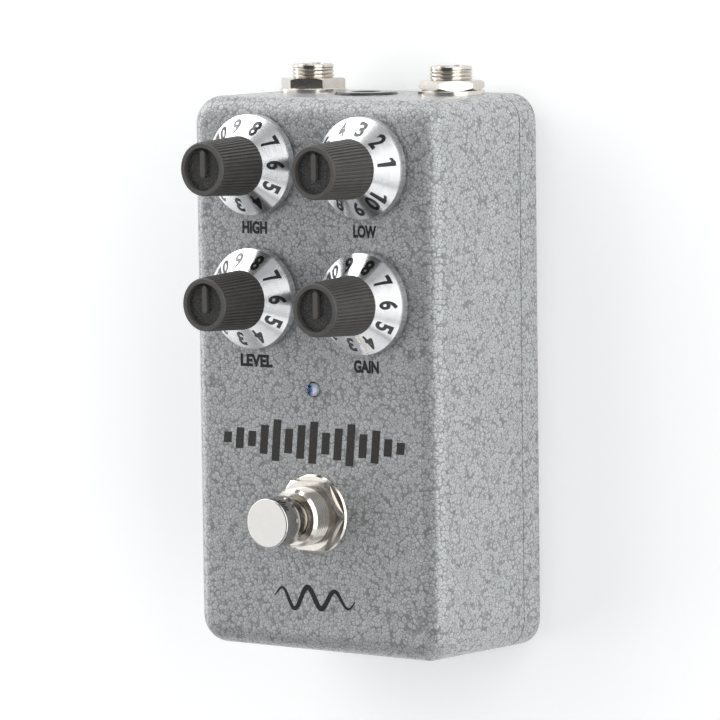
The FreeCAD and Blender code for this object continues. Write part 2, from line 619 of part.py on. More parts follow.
def make_sockets():
    nuts = {"input": hex_nut(JACK_NUT_FLATS, JACK_NUT, JACK_THREAD_RADIUS + 0.03, 1.0, 1.0,
                             JACKS["input"][1]),
            "output": hex_nut(JACK_NUT_FLATS, JACK_NUT, JACK_THREAD_RADIUS + 0.03, 0.3, 0.55,
                              JACKS["output"][1])}
    washer = turned([(JACK_THREAD_RADIUS + 0.1, 0), (JACK_WASHER_RADIUS, 0),
                     (JACK_WASHER_RADIUS, JACK_WASHER - 0.15),
                     (JACK_WASHER_RADIUS - 0.15, JACK_WASHER),
                     (JACK_THREAD_RADIUS + 0.1, JACK_WASHER)])
    sleeve = jack_sleeve()
    for name, (x, _turn) in JACKS.items():
        write(f"{name}_jack_sleeve", laid_along_y(sleeve, x, BODY_FRONT_Y, JACK_Z))
        write(f"{name}_jack_nut", laid_along_y(nuts[name], x, END_Y + JACK_WASHER, JACK_Z))
        write(f"{name}_jack_body", jack_body(x))
        write(f"{name}_jack_contacts", jack_contacts(x))
    write("jack_washers", [laid_along_y(washer, x, END_Y, JACK_Z) for x, _turn in JACKS.values()])

    write("dc_jack_body", laid_along_y(dc_jack_body(), 0, END_Y, DC_Z))
    inner_nut = hex_nut(14.0, 2.4, DC_BARREL_RADIUS + 0.05, 0.7, 0.7, 30)
    write("dc_jack_nut", laid_along_y(inner_nut, 0, END_INSIDE_Y - 2.4, DC_Z))
    back = DC_FLANGE - DC_BARREL_LENGTH
    pin = turned([(0, back + 1), (DC_PIN_ROOT_RADIUS, back + 1),
                  (DC_PIN_ROOT_RADIUS, -DC_SOCKET_DEPTH), (DC_PIN_RADIUS, -DC_SOCKET_DEPTH),
                  (DC_PIN_RADIUS, -1.1), (DC_PIN_RADIUS - 0.4, -0.6), (0, -0.6)])
    write("dc_jack_pin", laid_along_y(pin, 0, END_Y, DC_Z))
    leaf = box(-DC_SOCKET_RADIUS - 0.55, -DC_SOCKET_RADIUS - 0.2, -1.1, 1.1, -9.5, -2.2)
    write("dc_jack_contact", laid_along_y(leaf, 0, END_Y, DC_Z))


# ---------------------------------------------------------------- lamp and circuit boards

HEADER_Y = 35.0
HEADER_PINS = [2.54 * (k - 2.5) for k in range(6)]
MAIN_BOARD_Y = (CENTRE_Y - 7.5, CENTRE_Y + 52.2)
JACK_BOARD_Y = (BODY_BACK_Y + 0.5, BODY_FRONT_Y - 1.5)
LEAD_X = 2.4
LEAD_Z = DC_Z - 2.0
LEAD_Y = BODY_BACK_Y + 4.0
LAMP_LEGS = (-1.27, 1.27)


def lamp_lens():
    """Clear 3 mm lamp standing in its hole, z = 0 on the control face."""
    flange_z, dome_z = -5.4, LAMP_PROUD - LAMP_RADIUS
    barrel = rod(0, 0, flange_z, dome_z, LAMP_RADIUS)
    flange = rod(0, 0, flange_z, flange_z + 1.0, LAMP_RADIUS + 0.4)
    dome = Part.makeSphere(LAMP_RADIUS, Vector(0, 0, dome_z))
    return joined([barrel, flange, dome])


def main_board():
    y0, y1 = MAIN_BOARD_Y
    bottom = MAIN_BOARD_TOP - BOARD
    plate = box(-29.0, 29.0, y0, y1, bottom, MAIN_BOARD_TOP)
    holes = [(x + dx, y + dy) for x, y in DIALS.values() for dx, dy in POT_PINS]
    holes += [(dx, LAMP_PLACE_Y) for dx in LAMP_LEGS]
    holes += [(dx, HEADER_Y) for dx in HEADER_PINS]
    return plate.cut([rod(x, y, bottom - 1, MAIN_BOARD_TOP + 1, 0.55) for x, y in holes])


def jack_board():
    """Board over the sockets, notched round the power socket."""
    y0, y1 = JACK_BOARD_Y
    bottom = JACK_BOARD_TOP - BOARD
    plate = box(-24.8, 24.8, y0, y1, bottom, JACK_BOARD_TOP)
    cuts = [box(-8.9, 8.9, LEAD_Y + 3.5, y1 + 1, bottom - 1, JACK_BOARD_TOP + 1)]
    cuts += [box(x - 0.7, x + 0.7, row - 3.5, row - 2.2, bottom - 1, JACK_BOARD_TOP + 1)
             for x, _turn in JACKS.values() for row in CONTACT_ROWS]
    cuts += [rod(dx, HEADER_Y, bottom - 1, JACK_BOARD_TOP + 1, 0.55) for dx in HEADER_PINS]
    return plate.cut(cuts)


def switch_board():
    y = SWITCH_PLACE_Y
    bottom = SWITCH_BOARD_TOP - BOARD
    plate = box(-9.5, 9.5, y - 9.5, y + 12.5, bottom, SWITCH_BOARD_TOP)
    return plate.cut([box(dx - 1.2, dx + 1.2, y + dy - 0.55, y + dy + 0.55, bottom - 1,
                          SWITCH_BOARD_TOP + 1) for dx, dy in SWITCH_LUGS])


def ribbon_cable():
    """Flat cable that hangs in a loop between the main board and the switch board."""
    y_start, y_end = CENTRE_Y - 5.6, SWITCH_PLACE_Y + 11.0
    top, low = MAIN_BOARD_TOP - BOARD, 11.0
    path = rounded_path([Vector(0, y_start, top), Vector(0, y_start, low),
                         Vector(0, y_end, low), Vector(0, y_end, SWITCH_BOARD_TOP - BOARD)], 4.5)
    half_wide, half_thick = 5.1, 0.5
    section = Part.makePolygon([
        Vector(sx * half_wide, y_start + sy * half_thick, top)
        for sx, sy in ((-1, -1), (1, -1), (1, 1), (-1, 1), (-1, -1))])
    return path.makePipeShell([section], True, True)


def chip(x, y):
    """Eight-pin amplifier chip with gull-wing legs."""
    half_x, half_y, z0 = 2.0, 2.5, MAIN_BOARD_TOP
    body = box(x - half_x, x + half_x, y - half_y, y + half_y, z0 + 0.15, z0 + 1.7)
    legs = []
    for side in (-1, 1):
        for k in range(4):
            leg_y = y + 1.27 * (k - 1.5)
            x0, x1 = sorted((x + side * half_x, x + side * (half_x + 1.0)))
            legs.append(box(x0, x1, leg_y - 0.2, leg_y + 0.2, z0, z0 + 0.6))
    return joined([body] + legs)


def resistor(x, y):
    """Axial resistor bridging between two bent leads."""
    z = MAIN_BOARD_TOP + 1.5
    body = rod_y(x, z, y - 3.1, y + 3.1, 1.1)
    leads = []
    for side in (-1, 1):
        bent = [Vector(x, y + side * 2.9, z), Vector(x, y + side * 5.0, z),
                Vector(x, y + side * 5.0, MAIN_BOARD_TOP)]
        leads.append(round_wire(bent, 0.8, 0.28))
    return joined([body] + leads)


def make_electronics():
    write("led_lens", moved(lamp_lens(), 0, LAMP_PLACE_Y, FACE_Z))
    write("led_legs", [rod(dx, LAMP_PLACE_Y, MAIN_BOARD_TOP - BOARD - 0.8, FACE_Z - 5.4, 0.25)
                       for dx in LAMP_LEGS])
    write("main_board", main_board())
    write("jack_board", jack_board())
    write("switch_board", switch_board())
    header_base = box(-8.2, 8.2, HEADER_Y - 1.25, HEADER_Y + 1.25, JACK_BOARD_TOP,
                      MAIN_BOARD_TOP - BOARD)
    header_pins = [rod(dx, HEADER_Y, JACK_BOARD_TOP - BOARD - 0.8, MAIN_BOARD_TOP + 0.8, 0.32)
                   for dx in HEADER_PINS]
    write("board_header", joined([header_base] + header_pins))
    write("ribbon_cable", ribbon_cable())
    socket_back_y = END_Y + DC_FLANGE - DC_BARREL_LENGTH
    write("power_leads", [
        round_wire([Vector(x, socket_back_y, LEAD_Z), Vector(x, LEAD_Y, LEAD_Z),
                    Vector(x, LEAD_Y, JACK_BOARD_TOP - BOARD)], 2.0, 0.65)
        for x in (-LEAD_X, LEAD_X)])
    front_row, middle = CENTRE_Y + 4.0, CENTRE_Y + 31.2
    write("op_amp_chips", [chip(x, middle) for x in (-9.0, 9.0)] + [chip(0, CENTRE_Y + 20)])
    write("electrolytic_capacitors",
          [rod(x, y, MAIN_BOARD_TOP, MAIN_BOARD_TOP + 6.8, 2.5)
           for x in (-25.0, 25.0) for y in (front_row, middle)])
    write("film_capacitors",
          [box(x - 3.6, x + 3.6, middle - 1.4, middle + 1.4, MAIN_BOARD_TOP, MAIN_BOARD_TOP + 6.0)
           for x in (-17.0, 17.0)])
    write("resistors", [resistor(x, front_row - 2.5) for x in (-19, -15, -11, -7, 7, 11, 15, 19)])


def main():
    os.makedirs("parts", exist_ok=True)
    make_box()
    make_dials()
    make_footswitch()
    make_sockets()
    make_electronics()


main()
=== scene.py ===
"""Looks of a compact guitar effects pedal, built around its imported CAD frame.

Row frame, in metres: X runs across the pedal, Y along it towards the sockets, Z up from the floor.
"""

import math

import bmesh
import bpy
from mathutils import Matrix, Vector


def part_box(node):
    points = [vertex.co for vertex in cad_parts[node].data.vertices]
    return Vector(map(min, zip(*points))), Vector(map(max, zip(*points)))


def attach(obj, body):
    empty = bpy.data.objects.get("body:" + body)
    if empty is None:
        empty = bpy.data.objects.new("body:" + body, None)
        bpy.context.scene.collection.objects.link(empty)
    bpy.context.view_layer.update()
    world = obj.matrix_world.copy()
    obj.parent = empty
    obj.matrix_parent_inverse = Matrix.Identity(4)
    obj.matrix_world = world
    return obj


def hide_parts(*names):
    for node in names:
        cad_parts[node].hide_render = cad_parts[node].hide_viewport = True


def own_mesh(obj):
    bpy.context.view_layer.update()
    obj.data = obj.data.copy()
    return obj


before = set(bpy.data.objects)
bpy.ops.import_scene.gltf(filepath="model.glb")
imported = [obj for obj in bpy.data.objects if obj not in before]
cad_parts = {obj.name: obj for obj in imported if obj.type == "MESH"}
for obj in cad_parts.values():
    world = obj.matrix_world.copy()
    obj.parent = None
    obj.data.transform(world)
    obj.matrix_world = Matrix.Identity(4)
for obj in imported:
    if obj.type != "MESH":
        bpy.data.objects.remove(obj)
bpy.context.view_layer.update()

MM = 0.001
scene = bpy.context.scene


# ---------------------------------------------------------------- places read from the CAD


def centre_of(node):
    low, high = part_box(node)
    return (low + high) / 2


FACE_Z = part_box("enclosure_shell")[1].z
DIALS = ("high", "low", "level", "gain")
DIAL_CENTRE = {dial: centre_of(f"{dial}_knob_dial") for dial in DIALS}

# the numbered cone of a dial: radius and height above the face at its outer and inner edge
CONE_OUTER = Vector((10.82 * MM, 2.6 * MM))
CONE_INNER = Vector((6.5 * MM, 6.2 * MM))

# what each dial reads at rest: the number at the +Y side of its skirt
READING = {"high": 8.65, "low": 3.4, "level": 8.65, "gain": 8.65}
NUMBERS = range(1, 11)
DEGREES_PER_NUMBER = 300 / 9


# ---------------------------------------------------------------- node trees


class Nodes:
    """A node tree, emptied, with short calls for what is built in it."""

    def __init__(self, tree):
        self.tree = tree
        tree.nodes.clear()

    def node(self, kind, **settings):
        made = self.tree.nodes.new(kind)
        for key, value in settings.items():
            setattr(made, key, value)
        return made

    def put(self, socket, value):
        """A number, a colour, a vector or another node's output into a socket."""
        if isinstance(value, bpy.types.NodeSocket):
            self.tree.links.new(value, socket)
        elif socket.type == "RGBA":
            socket.default_value = (*value, 1)
        else:
            socket.default_value = value

    def math(self, operation, a, b=0.0, c=0.0):
        made = self.node("ShaderNodeMath", operation=operation)
        for socket, value in zip(made.inputs, (a, b, c)):
            self.put(socket, value)
        return made.outputs[0]

    def spread(self, value, low, high, to_low=0.0, to_high=1.0):
        """A value's range low to high taken to another range, with smooth ends."""
        made = self.node("ShaderNodeMapRange", interpolation_type="SMOOTHSTEP")
        for socket, number in zip(made.inputs, (value, low, high, to_low, to_high)):
            self.put(socket, number)
        return made.outputs["Result"]


class Finish(Nodes):
    """A material whose Principled surface has these constants, with calls for its textures."""

    def __init__(self, name, **constants):
        self.material = bpy.data.materials.new(name)
        self.material.use_nodes = True
        super().__init__(self.material.node_tree)
        out = self.node("ShaderNodeOutputMaterial")
        self.surface = self.node("ShaderNodeBsdfPrincipled")
        self.put(out.inputs["Surface"], self.surface.outputs["BSDF"])
        for key, value in constants.items():
            socket = key.replace("_", " ").title().replace("Ior", "IOR")
            self.put(self.surface.inputs[socket], value)
        coordinates = self.node("ShaderNodeTexCoord")
        self.place = coordinates.outputs["Object"]
        self.share = coordinates.outputs["Generated"]  # of the object's box, from 0 to 1

    def noise(self, size, detail=2.0, roughness=0.5):
        made = self.node("ShaderNodeTexNoise")
        self.put(made.inputs["Vector"], self.place)
        self.put(made.inputs["Scale"], 1 / size)
        self.put(made.inputs["Detail"], detail)
        self.put(made.inputs["Roughness"], roughness)
        return made.outputs["Fac"]

    def patches(self, size, detail=2.0, roughness=0.5, low=0.3, high=0.7):
        """Soft patches, from 0 to 1."""
        return self.spread(self.noise(size, detail, roughness), low, high)

    def cells(self, size, feature, place):
        made = self.node("ShaderNodeTexVoronoi", feature=feature)
        self.put(made.inputs["Vector"], place)
        self.put(made.inputs["Scale"], 1 / size)
        return made.outputs["Distance"]

    def warped(self, size, reach):
        """The place pushed about by noise."""
        noise = self.node("ShaderNodeTexNoise")
        self.put(noise.inputs["Vector"], self.place)
        self.put(noise.inputs["Scale"], 1 / size)
        self.put(noise.inputs["Detail"], 1.0)
        push = self.node("ShaderNodeVectorMath", operation="MULTIPLY_ADD")
        self.put(push.inputs[0], noise.outputs["Color"])
        self.put(push.inputs[1], (reach,) * 3)
        self.put(push.inputs[2], self.place)
        return push.outputs[0]

    def parts(self, vector):
        """A vector's X, Y and Z."""
        made = self.node("ShaderNodeSeparateXYZ")
        self.put(made.inputs[0], vector)
        return made.outputs

    def blend(self, share, a, b):
        """Colour a turning to colour b as share goes from 0 to 1."""
        made = self.node("ShaderNodeMix", data_type="RGBA")
        self.put(made.inputs["Factor"], share)
        self.put(made.inputs[6], a)
        self.put(made.inputs[7], b)
        return made.outputs[2]

    def colour(self, value):
        self.put(self.surface.inputs["Base Color"], value)

    def roughness(self, value):
        self.put(self.surface.inputs["Roughness"], value)

    def bump(self, height, depth):
        """Relief of a height from 0 to 1, that deep in metres."""
        made = self.node("ShaderNodeBump")
        self.put(made.inputs["Strength"], 1.0)
        self.put(made.inputs["Distance"], depth)
        self.put(made.inputs["Height"], height)
        self.put(self.surface.inputs["Normal"], made.outputs["Normal"])


# ---------------------------------------------------------------- camera

LENS_MM = 251.19
SENSOR_MM = 36
CAMERA_TURN = math.radians(35.392)  # round the pedal, from above its face towards +X
CAMERA_LIFT = math.radians(5.707)  # towards the socket end
CAMERA_ROLL = math.radians(0.722)
CAMERA_DISTANCE = 1.10618
CAMERA_TARGET = Vector((0, -3.07, 22)) * MM
CAMERA_OFFSET = Vector((-0.98, 1.837, 0)) * MM  # right and up, across the view


def make_camera():
    data = bpy.data.cameras.new("camera")
    data.lens = LENS_MM
    data.sensor_width = SENSOR_MM
    data.clip_start, data.clip_end = 0.05, 20
    camera = bpy.data.objects.new("camera", data)
    scene.collection.objects.link(camera)
    to_view = (
        Matrix.Rotation(CAMERA_ROLL, 3, "Z")
        @ Matrix.Rotation(CAMERA_LIFT, 3, "X")
        @ Matrix.Rotation(-CAMERA_TURN, 3, "Y")
    )
    turn = to_view.transposed()
    place = CAMERA_TARGET + turn @ (CAMERA_OFFSET + Vector((0, 0, CAMERA_DISTANCE)))
    camera.matrix_world = Matrix.Translation(place) @ turn.to_4x4()
    scene.camera = camera


# ---------------------------------------------------------------- light

AIM = (0, 0, 0.03)  # the point that every softbox faces


def overhead(azimuth, distance, y):
    """A point over the pedal, by its angle from straight up towards +X."""
    a = math.radians(azimuth)
    return (distance * math.sin(a), y, AIM[2] + distance * math.cos(a))


# the place, width, length and radiance of each softbox
SOFTBOXES = {
    "left_wall": (overhead(-55, 1.0, 0.36), 1.25, 2.1, 0.95),
    "left_key": (overhead(-82, 1.1, 0.2), 0.35, 1.6, 2.4),
    "far_left_key": ((-0.92, 0.82, 0.3), 0.5, 0.8, 1.4),
    "right_wall": (overhead(68, 1.2, 0.3), 1.05, 2.6, 2.1),
    "foot_fill": ((0.7, -1.0, 0.85), 0.9, 0.6, 0.75),
    "foot_strip": ((-0.06, -1.15, 0.45), 0.7, 0.4, 0.6),
    "back_low": ((0.1, 1.3, 0.24), 1.6, 0.3, 3.0),
}


def make_softbox(name, place, width, length, radiance):
    """A softbox facing the pedal, its length lying as near to Y as it can."""
    data = bpy.data.lights.new(name, "AREA")
    data.shape = "RECTANGLE"
    data.size, data.size_y = width, length
    data.energy = radiance * math.pi * width * length
    light = bpy.data.objects.new(name, data)
    scene.collection.objects.link(light)
    back = (Vector(place) - Vector(AIM)).normalized()
    across = Vector((0, 1, 0)).cross(back).normalized()
    along = back.cross(across)
    turn = Matrix((across, along, back)).transposed()
    light.matrix_world = Matrix.Translation(Vector(place)) @ turn.to_4x4()
    light.visible_camera = False


ROOM_COLOUR = (0.95, 0.98, 1)
ROOM_STRENGTH = 0.4
ROOM_DARK_STRENGTH = 0.08
ROOM_DARK_WAY = (0.17, -0.05, 0.984)  # towards the room's dark part, almost straight up
ROOM_DARK_EDGE = (0.82, 0.93)  # cosine of the angle from there where it starts and is full
BACKDROP_STRENGTH = 0.97


def make_room():
    """A dim room, darkest overhead, that the camera itself sees as a plain white backdrop."""
    scene.world = bpy.data.worlds.new("studio")
    scene.world.use_nodes = True
    room = Nodes(scene.world.node_tree)
    nearness = room.node("ShaderNodeVectorMath", operation="DOT_PRODUCT")
    room.put(nearness.inputs[0], room.node("ShaderNodeTexCoord").outputs["Generated"])
    room.put(nearness.inputs[1], ROOM_DARK_WAY)
    strength = room.spread(
        nearness.outputs["Value"], *ROOM_DARK_EDGE, ROOM_STRENGTH, ROOM_DARK_STRENGTH
    )
    dim = room.node("ShaderNodeBackground")
    room.put(dim.inputs["Color"], ROOM_COLOUR)
    room.put(dim.inputs["Strength"], strength)
    pale = room.node("ShaderNodeBackground")
    room.put(pale.inputs["Color"], (1, 1, 1))
    room.put(pale.inputs["Strength"], BACKDROP_STRENGTH)
    seen = room.node("ShaderNodeMixShader")
    room.put(seen.inputs["Fac"], room.node("ShaderNodeLightPath").outputs["Is Camera Ray"])
    room.put(seen.inputs[1], dim.outputs["Background"])
    room.put(seen.inputs[2], pale.outputs["Background"])
    out = room.node("ShaderNodeOutputWorld")
    room.put(out.inputs["Surface"], seen.outputs["Shader"])


def make_light():
    for name, settings in SOFTBOXES.items():
        make_softbox(name, *settings)
    make_room()
    scene.view_settings.view_transform = "Standard"
    scene.view_settings.look = "None"


# ---------------------------------------------------------------- paint and ink

DROP = 0.95 * MM  # breadth of the paint's large drops
SMALL_DROP = 0.56 * MM
PAINT_RELIEF = 0.07 * MM
INK_RELIEF = 0.04 * MM  # shallower, because ink fills the paint's lanes
DIAL_INK_RELIEF = 0.004 * MM


def hammered_drops(f):
    """A warped place in hammer-finish paint, and how far its large and small drops' middles are."""
    place = f.warped(4.0 * MM, 0.8 * MM)
    return place, f.cells(DROP, "F1", place), f.cells(SMALL_DROP, "F1", place)


def hammered_height(f, large, small):
    """The domes of the drops, large with small ones on them."""
    dome = f.math("MULTIPLY", f.spread(large, 0.1, 0.72, 1.0, 0.0), 0.7)
    return f.math("MULTIPLY_ADD", f.spread(small, 0.1, 0.65, 1.0, 0.0), 0.3, dome)


def hammered_paint(name):
    """Grey hammer-finish paint: drops whose rims are painted paler than their middles, a painted
    glint for the gloss on each dome, with darker lanes between them.
    """
    f = Finish(name, metallic=0.2, coat_weight=0.5, coat_roughness=0.2)
    place, large, small = hammered_drops(f)
    gap = f.spread(f.cells(DROP, "DISTANCE_TO_EDGE", place), 0.0, 0.13, 0.12, 1.0)
    in_large = f.spread(large, 0.48, 0.74, 1.0, 0.0)
    in_small = f.spread(small, 0.38, 0.66, 0.6, 0.0)
    inside = f.math("MULTIPLY", f.math("MAXIMUM", in_large, in_small), gap)
    cloud = f.patches(1.9 * MM, 3.0, low=0.34, high=0.66)
    lane = f.blend(cloud, (0.15, 0.155, 0.156), (0.22, 0.226, 0.228))
    middle = f.blend(cloud, (0.26, 0.268, 0.27), (0.32, 0.329, 0.332))
    # the drops' rims: a painted glint, paler than the middles, standing for gloss lit on each dome
    painted_glint = f.blend(cloud, (0.39, 0.4, 0.403), (0.46, 0.471, 0.475))
    # each drop's colour, from its middle out to its painted glint
    drop_with_glint = f.blend(f.spread(large, 0.08, 0.5), middle, painted_glint)
    f.colour(f.blend(inside, lane, drop_with_glint))
    f.roughness(f.spread(inside, 0, 1, 0.55, 0.4))
    f.bump(hammered_height(f, large, small), PAINT_RELIEF)
    return f.material


def scaled(colour, share):
    return tuple(c * share for c in colour)


def paint_ink(name, share):
    """Ink printed on the paint, following the drops under it, its colour scaled by that share."""
    f = Finish(name, metallic=0.0, ior=1.38)
    shade = f.patches(0.5 * MM, 3.0)
    thick, thin = (0.018, 0.016, 0.015), (0.034, 0.031, 0.029)
    f.colour(f.blend(shade, scaled(thick, share), scaled(thin, share)))
    f.roughness(f.spread(shade, 0, 1, 0.4, 0.56))
    _, large, small = hammered_drops(f)
    f.bump(hammered_height(f, large, small), INK_RELIEF)
    return f.material


def dial_ink(name):
    """Glossy ink on the dials' smooth metal."""
    f = Finish(name, metallic=0.0, ior=1.62)
    shade = f.patches(0.5 * MM, 3.0)
    f.colour(f.blend(shade, (0.007, 0.007, 0.007), (0.013, 0.013, 0.013)))
    f.roughness(f.spread(shade, 0, 1, 0.12, 0.168))
    f.bump(f.noise(0.2 * MM), DIAL_INK_RELIEF)
    return f.material


# ---------------------------------------------------------------- plastic and rubber

CLOUD = 2.2 * MM  # breadth of the patches where moulded colour differs a little
GRAIN = 0.25 * MM
GRAIN_DEPTH = 0.012 * MM

KNOB_WELL_RADIUS = 4.6 * MM
KNOB_WELL_TOP = 0.935  # share of the knob's height between the well's floor and its bar
KNOB_WELL_FOOT = 0.85  # share of the knob's height under the well's floor
PEBBLE = 0.42 * MM
PEBBLE_HEIGHT = 8.0  # times the grain's


def moulded(name, dark, light, roughness, **constants):
    """Moulded plastic or rubber with a fine grain and slight unevenness of colour."""
    f = Finish(name, **constants)
    f.colour(f.blend(f.patches(CLOUD, 4.0, 0.6), dark, light))
    grain = f.noise(GRAIN, 3.0, 0.6)
    f.roughness(f.spread(grain, 0.25, 0.75, roughness - 0.07, roughness + 0.09))
    f.bump(grain, GRAIN_DEPTH)
    return f.material


def knob_plastic(name):
    """Grey moulded plastic, with a darker pebbled floor in the knob's sunk top."""
    f = Finish(name, metallic=0.0)
    cloud = f.patches(CLOUD, 4.0, 0.6)
    grain = f.noise(GRAIN, 3.0, 0.6)
    low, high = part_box("high_knob_body")
    parts = f.parts(f.share)
    x = f.math("MULTIPLY", f.math("SUBTRACT", parts["X"], 0.5), high.x - low.x)
    y = f.math("MULTIPLY", f.math("SUBTRACT", parts["Y"], 0.5), high.y - low.y)
    reach = f.math("SQRT", f.math("ADD", f.math("MULTIPLY", x, x), f.math("MULTIPLY", y, y)))
    inside = f.math("LESS_THAN", reach, KNOB_WELL_RADIUS)
    under_bar = f.math("LESS_THAN", parts["Z"], KNOB_WELL_TOP)
    over_foot = f.math("GREATER_THAN", parts["Z"], KNOB_WELL_FOOT)
    well = f.math("MULTIPLY", inside, f.math("MULTIPLY", under_bar, over_foot))
    pebble = f.patches(PEBBLE, 2.0, 0.6, low=0.4, high=0.6)
    skin = f.blend(cloud, (0.05, 0.047, 0.044), (0.063, 0.06, 0.056))
    floor = f.blend(pebble, (0.02, 0.02, 0.02), (0.06, 0.058, 0.056))
    f.colour(f.blend(well, skin, floor))
    f.roughness(f.spread(grain, 0.25, 0.75, 0.38, 0.54))
    pebbled = f.math("MULTIPLY", pebble, well)
    f.bump(f.math("MULTIPLY_ADD", pebbled, PEBBLE_HEIGHT, grain), GRAIN_DEPTH)
    return f.material


# ---------------------------------------------------------------- metal

NICKEL = (0.69, 0.65, 0.6)
POLISHED_NICKEL = (0.6, 0.582, 0.565)
STEEL = (0.62, 0.61, 0.60)
ALUMINIUM = (0.87, 0.875, 0.885)

SKIRT_BREADTH = 22 * MM
TURNING_LINE = 0.22 * MM  # breadth of the turning marks on a dial's skirt
TURNING_DEPTH = 0.003 * MM


def metal(name, colour, roughness, size=0.4 * MM, depth=0.002 * MM, dull=0.85):
    """Plated or bare metal: fine marks in the finish, and patches a little duller than the rest."""
    f = Finish(name, metallic=1.0)
    f.colour(f.blend(f.patches(3 * MM, 3.0), scaled(colour, dull), colour))
    marks = f.noise(size, 4.0, 0.65)
    f.roughness(f.spread(marks, 0.3, 0.7, roughness * 0.75, roughness * 1.3))
    f.bump(marks, depth)
    return f.material


def turned_metal(name, colour, roughness, anisotropy):
    """Metal with turning marks in circles round its own Z axis."""
    f = Finish(name, metallic=1.0, anisotropic=anisotropy, anisotropic_rotation=0.25)
    f.colour(f.blend(f.patches(2 * MM, 3.0), scaled(colour, 0.94), colour))
    from_axis = f.node("ShaderNodeVectorMath", operation="SUBTRACT")
    f.put(from_axis.inputs[0], f.share)
    f.put(from_axis.inputs[1], (0.5, 0.5, 0.5))
    flat = f.node("ShaderNodeVectorMath", operation="MULTIPLY")
    f.put(flat.inputs[0], from_axis.outputs[0])
    f.put(flat.inputs[1], (1, 1, 0))
    reach = f.node("ShaderNodeVectorMath", operation="LENGTH")
    f.put(reach.inputs[0], flat.outputs[0])
    rings = f.node("ShaderNodeTexNoise", noise_dimensions="1D")
    f.put(rings.inputs["W"], reach.outputs["Value"])
    f.put(rings.inputs["Scale"], SKIRT_BREADTH / TURNING_LINE)
    f.put(rings.inputs["Detail"], 4.0)
    line = rings.outputs["Fac"]
    f.roughness(f.spread(line, 0.3, 0.7, roughness * 0.85, roughness * 1.2))
    f.bump(line, TURNING_DEPTH)
    tangent = f.node("ShaderNodeTangent", direction_type="RADIAL", axis="Z")
    f.put(f.surface.inputs["Tangent"], tangent.outputs[0])
    return f.material


# ---------------------------------------------------------------- lamp, board and floor finishes

# where the painted highlight on the lamp's inside starts and is whole, from the lens's middle
# towards +X: a pale colour standing for the bright room seen through the lens
LAMP_HIGHLIGHT_START = -0.08 * MM
LAMP_HIGHLIGHT_WHOLE = 0.67 * MM


def lamp_blue(name):
    """The lamp's inside: a deep blue die holder whose +X side is painted pale, a painted highlight
    for the light seen through the clear lens.
    """
    f = Finish(name, metallic=0.0, specular_ior_level=0.1)
    middle = centre_of("led_lens").x
    across = f.parts(f.warped(0.5 * MM, 0.7 * MM))["X"]
    # pale is the share of the painted highlight, rising towards +X
    pale = f.spread(across, middle + LAMP_HIGHLIGHT_START, middle + LAMP_HIGHLIGHT_WHOLE)
    cloud = f.patches(0.5 * MM, low=0.4, high=0.6)
    blue = f.blend(cloud, (0.001, 0.012, 0.09), (0.01, 0.12, 0.5))
    # the painted highlight's pale blue-white colour
    painted_highlight = f.blend(cloud, (0.7, 0.76, 0.9), (0.9, 0.92, 1.0))
    f.colour(f.blend(pale, blue, painted_highlight))
    f.roughness(f.spread(cloud, 0, 1, 0.25, 0.4))
    f.bump(cloud, 0.01 * MM)
    return f.material


def clear_lens(name):
    f = Finish(name, transmission_weight=1.0, ior=1.5, metallic=0.0)
    cloud = f.patches(0.8 * MM)
    f.colour(f.blend(cloud, (0.93, 0.95, 1.0), (1, 1, 1)))
    f.roughness(f.spread(cloud, 0, 1, 0.01, 0.04))
    return f.material


def circuit_board(name):
    """Green solder mask over tracks."""
    f = Finish(name, metallic=0.0, coat_weight=0.3, coat_roughness=0.2)
    track = f.node("ShaderNodeTexBrick")
    f.put(track.inputs["Vector"], f.place)
    f.put(track.inputs["Scale"], 160.0)
    f.put(track.inputs["Mortar Size"], 0.06)
    f.put(track.inputs["Color1"], (0.012, 0.06, 0.03))
    f.put(track.inputs["Color2"], (0.015, 0.075, 0.036))
    f.put(track.inputs["Mortar"], (0.03, 0.13, 0.06))
    f.colour(track.outputs["Color"])
    f.roughness(f.spread(f.noise(1 * MM), 0.3, 0.7, 0.35, 0.5))
    f.bump(track.outputs["Fac"], 0.02 * MM)
    return f.material


def pale_floor(name):
    """White floor, lit a little from below as a translucent studio table is."""
    f = Finish(name, metallic=0.0, emission_color=(1, 1, 1), emission_strength=0.23)
    cloud = f.patches(0.35)
    f.colour(f.blend(cloud, (0.93, 0.93, 0.93), (0.95, 0.95, 0.95)))
    f.roughness(f.spread(cloud, 0, 1, 0.8, 0.9))
    return f.material


# ---------------------------------------------------------------- all the finishes


def plain_name(material):
    """A material's name without the number that Blender adds to one in use."""
    return material.name.split(".")[0]


